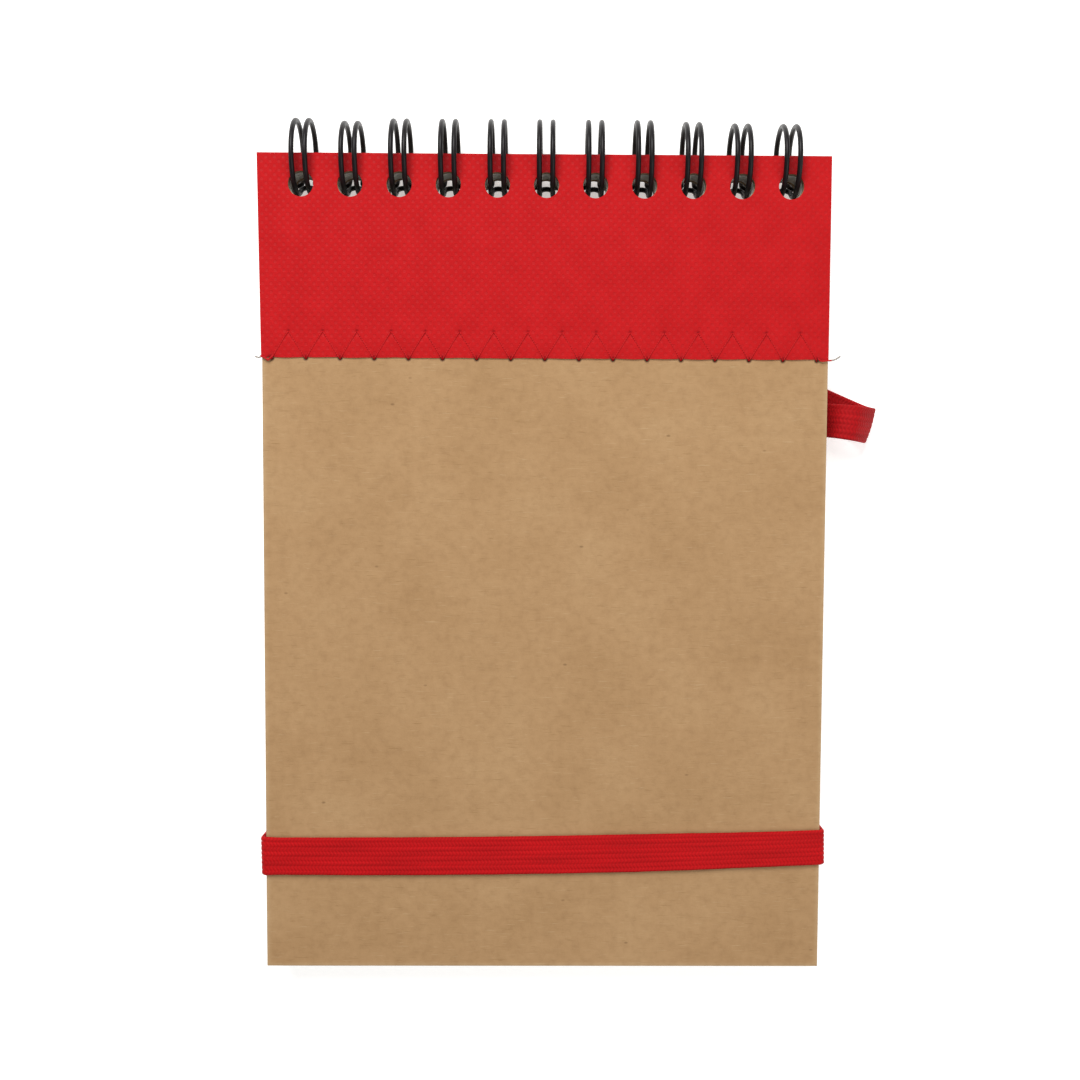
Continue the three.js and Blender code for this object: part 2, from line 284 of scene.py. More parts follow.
def loft(name, rings, materials, sharp=50):
    # skins a row of equal rings of points, with flat ends; lengths along and round go into the mm map
    rings = np.asarray(rings, float)
    n, m = rings.shape[:2]
    centres = rings.mean(axis=1)
    runs = np.concatenate([[0], np.cumsum(np.linalg.norm(np.diff(centres, axis=0), axis=1))])
    girth = np.linalg.norm(np.roll(rings[n // 2], -1, axis=0) - rings[n // 2], axis=1)
    rounds = np.concatenate([[0], np.cumsum(girth)])
    faces, uv = [], []
    for k in range(n - 1):
        for s in range(m):
            t = (s + 1) % m
            faces.append((k * m + s, k * m + t, (k + 1) * m + t, (k + 1) * m + s))
            here, there = runs[k], runs[k + 1]
            uv += [(here, rounds[s]), (here, rounds[s + 1]), (there, rounds[s + 1]), (there, rounds[s])]
    for k, order in ((0, range(m - 1, -1, -1)), (n - 1, range(m))):
        faces.append(tuple(k * m + s for s in order))
        uv += [(runs[k], rounds[s]) for s in order]
    return makeMesh(name, rings.reshape(-1, 3), faces, materials, uv, sharp=sharp)


def headings(points):
    # the unit direction of a path at each of its points
    ways = np.gradient(points, axis=0)
    return ways / np.linalg.norm(ways, axis=1)[:, None]


def smoothThrough(knots, steps):
    # a smooth path through the knots, with so many points to each stretch
    knots = np.array(knots, float)
    last = len(knots) - 1
    points = []
    for i in range(last):
        p0, p1, p2, p3 = (knots[min(max(k, 0), last)] for k in (i - 1, i, i + 1, i + 2))
        for t in np.arange(steps) / steps:
            points.append(0.5 * (2 * p1 + (p2 - p0) * t + (2 * p0 - 5 * p1 + 4 * p2 - p3) * t ** 2
                                 + (3 * p1 - p0 - 3 * p2 + p3) * t ** 3))
    points.append(knots[-1])
    return np.array(points)


def tubeRings(points, radius, sides):
    # rings round a path, carried along it without twist, with a rounded tip at each end
    points = np.asarray(points, float)
    first, last = headings(points)[[0, -1]]
    tip = ((0.97, 0.24), (0.8, 0.6), (0.45, 0.9))  # how far out and how wide, in radii
    sizes = [radius * wide for _, wide in tip]
    sizes = sizes + [radius] * len(points) + sizes[::-1]
    points = np.concatenate([[points[0] - first * radius * far for far, _ in tip], points,
                             [points[-1] + last * radius * far for far, _ in reversed(tip)]])
    heading = headings(points)
    across = np.cross(heading[0], (0.3, 0.2, 1.0))
    turn = np.linspace(0, 2 * math.pi, sides, endpoint=False)[:, None]
    rings = []
    for point, way, size in zip(points, heading, sizes):
        across = across - way * across.dot(way)
        across /= np.linalg.norm(across)
        rings.append(point + size * (np.cos(turn) * across + np.sin(turn) * np.cross(way, across)))
    return rings


view = {
    "place": (-3.409, -50.716, 245.268),  # places are in the book's frame
    "turn": (-0.0656, -0.0103, 0.0046),  # radians, from looking straight down
    "lens": 46.0,
    "floorColour": "f4f3f1",
    "tableGlow": 0.46,
    "skyStrength": 0.36,
    "keyWatts": 2.7,
    "keyPlace": (-90, 270, 380),
    "keySize": 0.34,  # metres across
    "fillWatts": 0.9,
    "fillPlace": (260, -260, 380),
    "fillSize": 0.5,
}
camera = bpy.data.objects.new("camera", bpy.data.cameras.new("camera"))
bpy.context.scene.collection.objects.link(camera)
camera.data.lens = view["lens"]
camera.data.sensor_width = 36
camera.data.clip_start, camera.data.clip_end = 0.01, 20
turnX, turnY, turnZ = view["turn"]
cameraTurn = Matrix.Rotation(turnZ, 3, "Z") @ Matrix.Rotation(turnY, 3, "Y") @ Matrix.Rotation(turnX, 3, "X")
camera.matrix_world = Matrix.Translation(place(view["place"])[0]) @ (bookTurn @ cameraTurn).to_4x4()
bpy.context.scene.camera = camera
bpy.context.scene.view_settings.view_transform = "Standard"

middle = place((0, -70, 0))[0]
for name, at, size, watts in (("key", view["keyPlace"], view["keySize"], view["keyWatts"]),
                              ("fill", view["fillPlace"], view["fillSize"], view["fillWatts"])):
    lamp = bpy.data.objects.new(name + "_softbox", bpy.data.lights.new(name + "_softbox", "AREA"))
    bpy.context.scene.collection.objects.link(lamp)
    lamp.data.shape = "DISK"
    lamp.data.size = size
    lamp.data.energy = watts
    lamp.location = place(at)[0]
    lamp.rotation_euler = (Vector(middle) - lamp.location).to_track_quat("-Z", "Y").to_euler()
world = bpy.data.worlds.new("studio")
world.use_nodes = True
# the backdrop is white to look at, and weaker as a light
seen = world.node_tree.nodes.new("ShaderNodeLightPath").outputs["Is Camera Ray"]
glow = world.node_tree.nodes.new("ShaderNodeMath")
glow.operation = "MULTIPLY_ADD"
glow.inputs[1].default_value = 1 - view["skyStrength"]
glow.inputs[2].default_value = view["skyStrength"]
world.node_tree.links.new(seen, glow.inputs[0])
world.node_tree.nodes["Background"].inputs[0].default_value = (1, 1, 1, 1)
world.node_tree.links.new(glow.outputs[0], world.node_tree.nodes["Background"].inputs[1])
bpy.context.scene.world = world

# opal acrylic table lit from below: nearly white all over, so that shadows on it are only a breath
sweep = newMaterial("opal_acrylic_table_backlit")
sweepMap = add(sweep, "TexCoord").outputs["Object"]
sweepCloud = add(sweep, "TexNoise", {"Vector": sweepMap, "Scale": 9.0, "Detail": 2.0})
sweepColour = add(sweep, "ValToRGB", {0: sweepCloud.outputs[0]},
                  stops=[(0.3, "f2f1ef"), (0.7, view["floorColour"])])
sweepGrain = add(sweep, "TexNoise", {"Vector": sweepMap, "Scale": 900.0, "Detail": 3.0})
surface(sweep, sweepColour.outputs[0], 0.95, sweepGrain.outputs[0], 0.02,
        **{"Emission Color": (1, 1, 1, 1), "Emission Strength": view["tableGlow"]})
floorMesh = bpy.data.meshes.new("floor")
floorLines = np.linspace(-6, 6, 7)  # metres
floorMesh.from_pydata([(x, y, 0) for x in floorLines for y in floorLines], [],
                      [(7 * i + j, 7 * i + 7 + j, 7 * i + 8 + j, 7 * i + 1 + j)
                       for i in range(6) for j in range(6)])
floorMesh.materials.append(sweep)
floor = bpy.data.objects.new("floor", floorMesh)
bpy.context.scene.collection.objects.link(floor)
print("camera, floor and light ready")


# Kraft board: grey chipboard lined with brown kraft, calendered. Matt, with soft clouds of fibre, single
# long fibres and a few dark shives, and a paler, fluffed line where the guillotine has cut it.
def kraft(name, shift):
    mat = newMaterial(name)
    flat = inMm(mat, shift=shift)
    clouds = add(mat, "TexNoise", {"Vector": flat, "Scale": 0.055, "Detail": 3.0, "Roughness": 0.6})  # 18 mm
    tone = add(mat, "ValToRGB", {0: clouds.outputs[0]},
               stops=[(0.3, "a48159"), (0.52, "aa875f"), (0.75, "af8d65")])
    flocs = add(mat, "TexNoise", {"Vector": flat, "Scale": 0.6, "Detail": 5.0, "Roughness": 0.65})  # 1.7 mm
    flocTone = add(mat, "ValToRGB", {0: flocs.outputs[0]},
                   stops=[(0.28, "e4dfd7"), (0.5, "f5f3ef"), (0.72, "ffffff")])
    colour = add(mat, "Mix", {0: 0.75, 6: tone.outputs[0], 7: flocTone.outputs[0]}, data_type="RGBA",
                 blend_type="MULTIPLY").outputs[2]
    height = flocs.outputs[0]
    # fibres 0.25 mm wide and 3 mm long, all with the grain across the board, twice as wide as real ones so
    # that they show; each colour's own turn only gives it another scatter
    for turn, fibreColour, share in ((78, "7c5c32", 0.3), (112, "cdb48e", 0.16), (15, "8c6b3f", 0.22)):
        lie = inMm(mat, turn, (0.33, 4.0, 1), (3.1 * turn, shift[0] + turn, 0))
        fibre = add(mat, "TexNoise", {"Vector": lie, "Scale": 1.0, "Detail": 2.0, "Distortion": 0.35})
        mask = add(mat, "ValToRGB", {0: fibre.outputs[0]}, stops=[(0.63, "000000"), (0.74, "ffffff")])
        amount = add(mat, "Math", {0: mask.outputs[0], 1: share}, operation="MULTIPLY")
        colour = add(mat, "Mix", {0: amount.outputs[0], 6: colour, 7: linear(fibreColour)},
                     data_type="RGBA").outputs[2]
        height = add(mat, "Math", {0: height, 1: amount.outputs[0]}, operation="ADD").outputs[0]
    # shives: dark flecks about 0.6 mm long, one every 6 mm or so
    lie = inMm(mat, 60, (0.16, 0.3, 1), (shift[1], 7, 0))
    flecks = add(mat, "TexVoronoi", {"Vector": lie, "Scale": 1.0, "Randomness": 1.0})
    fleck = add(mat, "ValToRGB", {0: flecks.outputs["Distance"]}, stops=[(0.03, "ffffff"), (0.075, "000000")])
    chosen = add(mat, "SeparateColor", {0: flecks.outputs["Color"]})
    some = add(mat, "Math", {0: chosen.outputs[0], 1: 0.42}, operation="LESS_THAN")
    amount = add(mat, "Math", {0: fleck.outputs[0], 1: some.outputs[0]}, operation="MULTIPLY")
    soft = add(mat, "Math", {0: amount.outputs[0], 1: 0.5}, operation="MULTIPLY")
    colour = add(mat, "Mix", {0: soft.outputs[0], 6: colour, 7: linear("5f4628")},
                 data_type="RGBA").outputs[2]
    # the wear-and-shade mark: 0 to 1 is real fluffing towards a cut edge, and below 0 is painted shade in a
    # needle hole
    wearAndShade = add(mat, "Attribute", attribute_name="wearAndShade").outputs["Fac"]
    frayed = add(mat, "Math", {0: wearAndShade, 1: flocs.outputs[0]}, operation="MULTIPLY", use_clamp=True)
    colour = add(mat, "Mix", {0: frayed.outputs[0], 6: colour, 7: linear("bea37e")},
                 data_type="RGBA").outputs[2]
    # painted shade in each needle hole, mixed in as a dark purple-red
    pit = add(mat, "Math", {0: wearAndShade, 1: -1.0}, operation="MULTIPLY", use_clamp=True)
    colour = add(mat, "Mix", {0: pit.outputs[0], 6: colour, 7: linear("2c0a14")}, data_type="RGBA").outputs[2]
    rough = add(mat, "MapRange", {0: flocs.outputs[0], 3: 0.74, 4: 0.88})
    return surface(mat, colour, rough.outputs[0], height, 0.035, **{"IOR": 1.5, "Specular IOR Level": 0.35})


# Board edge: the guillotined core, grey waste-paper pulp between two brown liners. Layers show as
# fine lines along the edge, a little darker and rougher than the faces.
def boardEdge():
    mat = newMaterial("chipboard_edge_guillotined")
    flat = inMm(mat)
    depth = add(mat, "Attribute", attribute_name="depth").outputs["Fac"]
    layered = add(mat, "CombineXYZ", {0: depth, 1: 0.0, 2: 0.0})
    spread = add(mat, "VectorMath", {0: flat, 1: (0.25, 0.25, 0.25)}, operation="MULTIPLY")
    at = add(mat, "VectorMath", {0: layered.outputs[0], 1: (9.0, 0, 0)}, operation="MULTIPLY")
    at = add(mat, "VectorMath", {0: at.outputs[0], 1: spread.outputs[0]}, operation="ADD")
    plies = add(mat, "TexNoise", {"Vector": at.outputs[0], "Scale": 1.0, "Detail": 3.0, "Roughness": 0.6})
    tone = add(mat, "ValToRGB", {0: depth}, stops=[(0.0, "96744d"), (0.12, "927e62"), (0.5, "9a886f"),
                                                   (0.88, "927e62"), (1.0, "a17e55")])
    shade = add(mat, "ValToRGB", {0: plies.outputs[0]}, stops=[(0.3, "a8a49c"), (0.7, "ffffff")])
    colour = add(mat, "Mix", {0: 0.8, 6: tone.outputs[0], 7: shade.outputs[0]}, data_type="RGBA",
                 blend_type="MULTIPLY")
    return surface(mat, colour.outputs[2], 0.93, plies.outputs[0], 0.06)


# Spun-bonded polypropylene: red filament web, hot-embossed in a diamond lattice of small bond points.
# Soft and nearly matt; each bond point is pressed flat, so it is darker and a little shinier.
def nonWoven():
    mat = newMaterial("non_woven_polypropylene_embossed")
    lattice = 1.05  # mm between bond points
    across = inMm(mat, 45)
    parts = add(mat, "SeparateXYZ", {0: across})
    waves = []
    for axis in (0, 1):
        angle = add(mat, "Math", {0: parts.outputs[axis], 1: 2 * math.pi / lattice}, operation="MULTIPLY")
        waves.append(add(mat, "Math", {0: angle.outputs[0]}, operation="COSINE").outputs[0])
    both = add(mat, "Math", {0: waves[0], 1: waves[1]}, operation="ADD")
    point = add(mat, "MapRange", {0: both.outputs[0], 1: 0.35, 2: 1.35},
                interpolation_type="SMOOTHSTEP").outputs[0]
    web = add(mat, "TexNoise", {"Vector": inMm(mat), "Scale": 3.2, "Detail": 5.0, "Roughness": 0.7,
                                "Distortion": 1.6})
    clouds = add(mat, "TexNoise", {"Vector": inMm(mat), "Scale": 0.22, "Detail": 3.0})
    tone = add(mat, "ValToRGB", {0: clouds.outputs[0]}, stops=[(0.3, "b71115"), (0.7, "bf1519")])
    thin = add(mat, "ValToRGB", {0: web.outputs[0]}, stops=[(0.3, "dadada"), (0.65, "ffffff")])
    colour = add(mat, "Mix", {0: 0.8, 6: tone.outputs[0], 7: thin.outputs[0]}, data_type="RGBA",
                 blend_type="MULTIPLY").outputs[2]
    pressed = add(mat, "Math", {0: point, 1: 0.1}, operation="MULTIPLY")
    colour = add(mat, "Mix", {0: pressed.outputs[0], 6: colour, 7: linear("8e0e13")},
                 data_type="RGBA").outputs[2]
    wearAndShade = add(mat, "Attribute", attribute_name="wearAndShade").outputs["Fac"]
    # painted shade: where the mark is below 0 the cloth is darkened, under the binding wire and round the
    # needle holes
    pit = add(mat, "Math", {0: wearAndShade, 1: -1.0}, operation="MULTIPLY", use_clamp=True)
    colour = add(mat, "Mix", {0: pit.outputs[0], 6: colour, 7: linear("3a0610")}, data_type="RGBA").outputs[2]
    rough = add(mat, "MapRange", {0: point, 3: 0.78, 4: 0.5})
    raised = add(mat, "Math", {0: point, 1: -1.0}, operation="MULTIPLY")
    height = add(mat, "Math", {0: web.outputs[0], 1: 0.45, 2: raised.outputs[0]}, operation="MULTIPLY_ADD")
    return surface(mat, colour, rough.outputs[0], height.outputs[0], 0.032,
                   **{"IOR": 1.49, "Specular IOR Level": 0.14})


# Covered elastic: rubber cords wrapped and knitted over in red polyester. The cords are ribs in the mesh;
# the cover thread crosses them in small chevrons, with a soft sheen.
def elasticWeave(name, light, dark):
    mat = newMaterial(name)
    chevron = 0.62  # mm from stitch to stitch, about twice the real one so that it shows
    rib = 0.8  # mm from cord to cord
    parts = add(mat, "SeparateXYZ", {0: inMm(mat)})
    over = add(mat, "Math", {0: parts.outputs[1], 1: rib}, operation="PINGPONG")
    slant = add(mat, "Math", {0: over.outputs[0], 1: 0.55, 2: parts.outputs[0]}, operation="MULTIPLY_ADD")
    angle = add(mat, "Math", {0: slant.outputs[0], 1: 2 * math.pi / chevron}, operation="MULTIPLY")
    wave = add(mat, "Math", {0: angle.outputs[0]}, operation="SINE")
    stitch = add(mat, "MapRange", {0: wave.outputs[0], 1: -1.0, 2: 1.0}).outputs[0]
    fuzz = add(mat, "TexNoise", {"Vector": inMm(mat, stretch=(1, 3, 1)), "Scale": 2.4, "Detail": 4.0,
                                 "Roughness": 0.65})
    uneven = add(mat, "TexNoise", {"Vector": inMm(mat, stretch=(0.08, 1.2, 1)), "Scale": 1.0, "Detail": 2.0})
    tone = add(mat, "ValToRGB", {0: uneven.outputs[0]}, stops=[(0.32, dark), (0.68, light)])
    shade = add(mat, "ValToRGB", {0: stitch}, stops=[(0.0, "dcd6d6"), (0.6, "ffffff")])
    colour = add(mat, "Mix", {0: 0.6, 6: tone.outputs[0], 7: shade.outputs[0]}, data_type="RGBA",
                 blend_type="MULTIPLY").outputs[2]
    height = add(mat, "Math", {0: fuzz.outputs[0], 1: 0.6, 2: stitch}, operation="MULTIPLY_ADD")
    rough = add(mat, "MapRange", {0: fuzz.outputs[0], 3: 0.6, 4: 0.82})
    return surface(mat, colour, rough.outputs[0], height.outputs[0], 0.045,
                   **{"Sheen Weight": 0.015, "Sheen Roughness": 0.4, "IOR": 1.5, "Specular IOR Level": 0.14})


# Sewing thread: two-ply spun polyester. The plies wind round it, so it glints in short slanting dashes; these
# glints, and the shade between the plies, are painted into its colour.
def thread(name, light, dark):
    mat = newMaterial(name)
    plyLength = 0.45  # mm along the thread from ply to ply
    parts = add(mat, "SeparateXYZ", {0: inMm(mat)})
    wind = add(mat, "Math", {0: parts.outputs[1], 1: 0.9, 2: parts.outputs[0]}, operation="MULTIPLY_ADD")
    angle = add(mat, "Math", {0: wind.outputs[0], 1: 2 * math.pi / plyLength}, operation="MULTIPLY")
    ply = add(mat, "Math", {0: angle.outputs[0]}, operation="SINE")
    # painted highlight and shade: lighter along each ply, darker between them
    tone = add(mat, "ValToRGB", {0: ply.outputs[0]}, stops=[(0.0, dark), (0.8, light)])
    hairs = add(mat, "TexNoise", {"Vector": inMm(mat), "Scale": 7.0, "Detail": 3.0})
    height = add(mat, "Math", {0: hairs.outputs[0], 1: 0.5, 2: ply.outputs[0]}, operation="MULTIPLY_ADD")
    rough = add(mat, "MapRange", {0: hairs.outputs[0], 3: 0.5, 4: 0.75})
    return surface(mat, tone.outputs[0], rough.outputs[0], height.outputs[0], 0.03,
                   **{"Specular IOR Level": 0.2})


# Recycled writing paper: uncoated, grey-white and matt, with scattered short fibres. Its faces are printed
# with pale feint lines right out to the sides, and its guillotined edges, with lineStrength 0, have none.
def recycledPaper(name, lineStrength):
    mat = newMaterial(name)
    firstLine, lineGap, lineWidth = 16.5, 7.0, 0.22  # mm, the first from the ring axis
    flat = inMm(mat)
    clouds = add(mat, "TexNoise", {"Vector": flat, "Scale": 0.35, "Detail": 4.0, "Roughness": 0.6})
    colour = add(mat, "ValToRGB", {0: clouds.outputs[0]}, stops=[(0.3, "d3d0c6"), (0.7, "dcd9d1")]).outputs[0]
    lie = inMm(mat, 35, (0.5, 4.5, 1))
    fibre = add(mat, "TexNoise", {"Vector": lie, "Scale": 1.0, "Detail": 2.0, "Distortion": 0.4})
    mask = add(mat, "ValToRGB", {0: fibre.outputs[0]}, stops=[(0.68, "000000"), (0.76, "ffffff")])
    soft = add(mat, "Math", {0: mask.outputs[0], 1: 0.35}, operation="MULTIPLY")
    colour = add(mat, "Mix", {0: soft.outputs[0], 6: colour, 7: linear("aaa08d")},
                 data_type="RGBA").outputs[2]
    parts = add(mat, "SeparateXYZ", {0: flat})
    down = add(mat, "Math", {0: parts.outputs[1], 1: -1.0, 2: -firstLine}, operation="MULTIPLY_ADD")
    step = add(mat, "Math", {0: down.outputs[0], 1: lineGap}, operation="FLOORED_MODULO")
    inked = add(mat, "Math", {0: step.outputs[0], 1: lineWidth}, operation="LESS_THAN")
    below = add(mat, "Math", {0: down.outputs[0], 1: -0.1}, operation="GREATER_THAN")
    ink = add(mat, "Math", {0: inked.outputs[0], 1: below.outputs[0]}, operation="MULTIPLY")
    ink = add(mat, "Math", {0: ink.outputs[0], 1: lineStrength}, operation="MULTIPLY")
    colour = add(mat, "Mix", {0: ink.outputs[0], 6: colour, 7: linear("93a2b0")}, data_type="RGBA").outputs[2]
    rough = add(mat, "MapRange", {0: clouds.outputs[0], 3: 0.85, 4: 0.95})
    return surface(mat, colour, rough.outputs[0], fibre.outputs[0], 0.015, **{"Specular IOR Level": 0.3})


# Binding wire: drawn steel in a black nylon coat. Smooth, half glossy, with a faint orange-peel that
# breaks the long highlights.
def coatedWire():
    mat = newMaterial("steel_wire_nylon_coated")
    flat = inMm(mat)
    peel = add(mat, "TexNoise", {"Vector": flat, "Scale": 2.2, "Detail": 2.0})
    dust = add(mat, "TexNoise", {"Vector": flat, "Scale": 0.5, "Detail": 5.0, "Roughness": 0.7})
    tone = add(mat, "ValToRGB", {0: dust.outputs[0]}, stops=[(0.35, "0a0708"), (0.7, "130d10")])
    rough = add(mat, "MapRange", {0: dust.outputs[0], 3: 0.3, 4: 0.45})
    return surface(mat, tone.outputs[0], rough.outputs[0], peel.outputs[0], 0.012,
                   **{"IOR": 1.53, "Specular IOR Level": 0.22})


# Crimp: tin-plated mild steel, stamped. Bright and slightly grainy, with scuffs along it.
def tinPlate():
    mat = newMaterial("mild_steel_tin_plated")
    scuff = add(mat, "TexNoise", {"Vector": inMm(mat, stretch=(0.6, 6, 1)), "Scale": 1.5, "Detail": 4.0})
    grain = add(mat, "TexNoise", {"Vector": inMm(mat), "Scale": 4.0, "Detail": 2.0})
    tone = add(mat, "ValToRGB", {0: grain.outputs[0]}, stops=[(0.3, "a9abad"), (0.7, "c4c6c8")])
    rough = add(mat, "MapRange", {0: scuff.outputs[0], 3: 0.25, 4: 0.48})
    return surface(mat, tone.outputs[0], rough.outputs[0], scuff.outputs[0], 0.01, Metallic=1.0)


kraftFace, kraftCore = kraft("kraft_lined_chipboard_front", (0, 0, 0)), boardEdge()
kraftBack = kraft("kraft_lined_chipboard_back", (230, 410, 0))
red = nonWoven()
bandWeave = elasticWeave("elastic_webbing_red_ribbed", "bb0a10", "a9070c")
loopWeave = elasticWeave("elastic_webbing_red_ribbed_deeper", "af0d13", "99080e")
redThread = thread("polyester_thread_red_two_ply", "bd1418", "b21216")
greyThread = thread("polyester_thread_undyed_end", "cfc8c0", "8f8880")
ruledPaper = recycledPaper("recycled_paper_uncoated_ruled", 0.7)
cutPaper = recycledPaper("recycled_paper_guillotined", 0.0)
wireCoat, tin = coatedWire(), tinPlate()
print("materials ready")


seam = {
    "pitch": 5.93,
    "depth": 4.8,
    "belowStrip": 0.2,
    "fromEdge": 1.65,
    "needleRadius": 0.3,
    "puckerRadius": 1.3,
    "pucker": 0.1,
    "gridReach": 0.7,  # how far the finer grid goes round a puncture in the board
}
seamLower = book["boardTop"] - book["stripLength"] - seam["belowStrip"]
seamPeriods = int((book["boardWidth"] - 2 * seam["fromEdge"]) / seam["pitch"])
punctures = [(-halfWidth + seam["fromEdge"] + i * seam["pitch"] / 2, seamLower + (i % 2) * seam["depth"])
             for i in range(2 * seamPeriods + 1)]
lowerRow, upperRow = punctures[0::2], punctures[1::2]


def nearPuncture(x, y, radius, row=punctures):
    # 1 at a puncture, falling to nothing a few radii away
    nearest = np.zeros(len(x))
    for px, py in row:
        near = (abs(x - px) < 3 * radius) & (abs(y - py) < 3 * radius)
        away = np.exp(-((x[near] - px) ** 2 + (y[near] - py) ** 2) / radius ** 2)
        nearest[near] = np.maximum(nearest[near], away)
    return nearest


def edgeWear(x, y, reach):
    gap = np.minimum(halfWidth - abs(x), np.minimum(book["boardTop"] - y, y - boardFoot))
    for ringX in ringXs:
        gap = np.minimum(gap, np.hypot(x - ringX, y + book["holeFromAxis"]) - book["holeRadius"])
    return np.clip(1 - gap / reach, 0, 1)


def still(level):
    return lambda x, y: np.full(len(x), float(level))


board = {
    "rounding": 0.12,
    "coarse": 3.0,  # grid steps, and how far the finer ones reach round a hole and in from an edge
    "atHoles": 0.26,
    "atNeedle": 0.1,
    "atEdges": 0.4,
    "holeReach": 2.6,
    "edgeReach": 0.8,
    "wave": 0.03,
    "settled": 0.03,  # the front face lies this much below its nominal height
    "pit": 0.45,
    # how far the painted shade round a needle hole reaches
    "holeShadeRadius": 0.38,
    "wearReach": 0.7,
    "wearShare": 0.8,
}
holes = [roundHole(x, -book["holeFromAxis"], book["holeRadius"] + board["rounding"]) for x in ringXs]
inset = board["rounding"]
ringZones = [(x, board["holeReach"], board["atHoles"]) for x in ringXs]
holeRow = (-book["holeFromAxis"], board["holeReach"], board["atHoles"])
sideZones = [(s * (halfWidth - inset), board["edgeReach"], board["atEdges"]) for s in (-1, 1)]
yZones = [holeRow] + [(y, board["edgeReach"], board["atEdges"]) for y in (book["boardTop"], boardFoot)]
backTop = book["backBottom"] + book["boardThickness"]


def boardFrontTop(x, y):
    swell = board["wave"] * np.sin(x / 17 + 0.6) * np.sin(y / 23)
    pits = board["pit"] * nearPuncture(x, y, seam["needleRadius"])
    return book["frontTop"] - board["settled"] + swell - pits


def frontWearAndShade(x, y):
    # painted shade round the needle holes of the seam; elsewhere real fluffed wear towards the cut edges
    holeShade = nearPuncture(x, y, board["holeShadeRadius"])
    return np.where(holeShade > 0.15, -holeShade, board["wearShare"] * edgeWear(x, y, board["wearReach"]))


def backWear(x, y):
    return board["wearShare"] * edgeWear(x, y, board["wearReach"])


xs = gridLines(-halfWidth + inset, halfWidth - inset, board["coarse"],
               sideZones + ringZones + [(px, seam["gridReach"], board["atNeedle"]) for px, _ in lowerRow])
ys = gridLines(boardFoot + inset, book["boardTop"] - inset, board["coarse"],
               yZones + [(seamLower, seam["gridReach"], board["atNeedle"])])
frontBoard = slab("front_kraft_board", xs, ys, boardFrontTop, still(book["frontBottom"]),
                  holes, board["rounding"], [kraftFace, kraftCore], frontWearAndShade)
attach(frontBoard, "front_board")
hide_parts("front_cover")

band = {
    "width": 6.4,
    "relaxedWidth": 6.85,  # over the middle of the board
    "narrowing": 0.1,  # lost at the right, where it is pulled tightest
    "flare": 0.3,  # gained at the left fold
    "thickness": 0.7,
    "y": boardFoot + 20.82,  # its middle, halfway across the board
    "slant": math.radians(1.0),
    "sag": 0.42,  # how far its middle hangs towards the foot
    "endRise": 0.17,  # and how far its ends stand the other way
    "slotX": halfWidth - 10,
    "slotHalf": 0.55,
    "slotEnd": 0.2,  # how much longer the slot is at each end than the band is wide
    "sideX": halfWidth + 0.55,  # the band's mid-thickness beside the boards, over them and under them
    "runZ": book["frontTop"] + 0.45,
    "tailZ": book["backBottom"] - 0.45,
    "corner": 0.75,
    "slotCorner": 0.4,
    "ribs": 8,
    "ribDepth": 0.09,
}


def onBand(x, z, across=0.0):
    c, s = math.cos(band["slant"]), math.sin(band["slant"])
    return (x * c - across * s, band["y"] + x * s + across * c, z)


slotLength = band["width"] / 2 + band["slotEnd"]
slots = [slotHole(*onBand(side * band["slotX"], 0)[:2], band["slotHalf"], slotLength, band["slant"])
         for side in (-1, 1)]
slotRise = band["slotX"] * math.sin(band["slant"])
slotEnds = [band["y"] + side * (slotRise + end * slotLength) for side in (-1, 1) for end in (-1, 1)]
xs = gridLines(-halfWidth + inset, halfWidth - inset, board["coarse"],
               sideZones + ringZones + [(side * band["slotX"], 1.2, 0.15) for side in (-1, 1)])
ys = gridLines(boardFoot + inset, book["boardTop"] - inset, board["coarse"],
               yZones + [(y, 0.5, 0.15) for y in slotEnds])
backBoard = slab("back_kraft_board", xs, ys, still(backTop), still(book["backBottom"]),
                 holes + slots, board["rounding"], [kraftBack, kraftCore], backWear)
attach(backBoard, "back_board")
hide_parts("back_cover")
print("boards ready")


strip = {
    "overhangTop": 0.6,  # past the board's left side at the rings
    "overhangFoot": 0.12,  # the same at its foot
    "overhangRight": 0.02,
    "overhangRings": 0.06,  # past the board's top
    "stretchFrom": 44.9,  # the cloth is drawn out to its sides from here
    "stretchFromTop": 1.0,
    "grid": 0.9,
    "atNeedle": 0.12,
    "needleReach": 0.6,
    "edgeWander": 0.06,
    "settled": 0.035,  # its face lies this much below its nominal height
    "needlePit": 0.16,
    "least": 0.12,  # thickness where it is pressed down hardest
    # painted shade of the binding wire on the cloth: how dark it is, and how far it spreads each side of a
    # ring
    "wireShade": 0.34,
    "wireShadeHalf": 1.9,
}
stripFoot = book["boardTop"] - book["stripLength"]


def stripTop(x, y):
    ripple = 0.015 * np.sin(x / 3.1 + 0.4 * np.sin(y / 2.3)) + 0.012 * np.sin(y / 2.7 + x / 9)
    pressedFoot = np.clip(1 - (y - stripFoot) / 2.2, 0, 1) * 0.02
    pucker = seam["pucker"] * nearPuncture(x, y, seam["puckerRadius"])
    pit = strip["needlePit"] * nearPuncture(x, y, seam["needleRadius"])
    return book["stripTop"] - strip["settled"] + ripple - pressedFoot - pucker - pit


def stripBottom(x, y):
    return np.minimum(stripTop(x, y) - strip["least"], book["frontTop"] - 0.005)


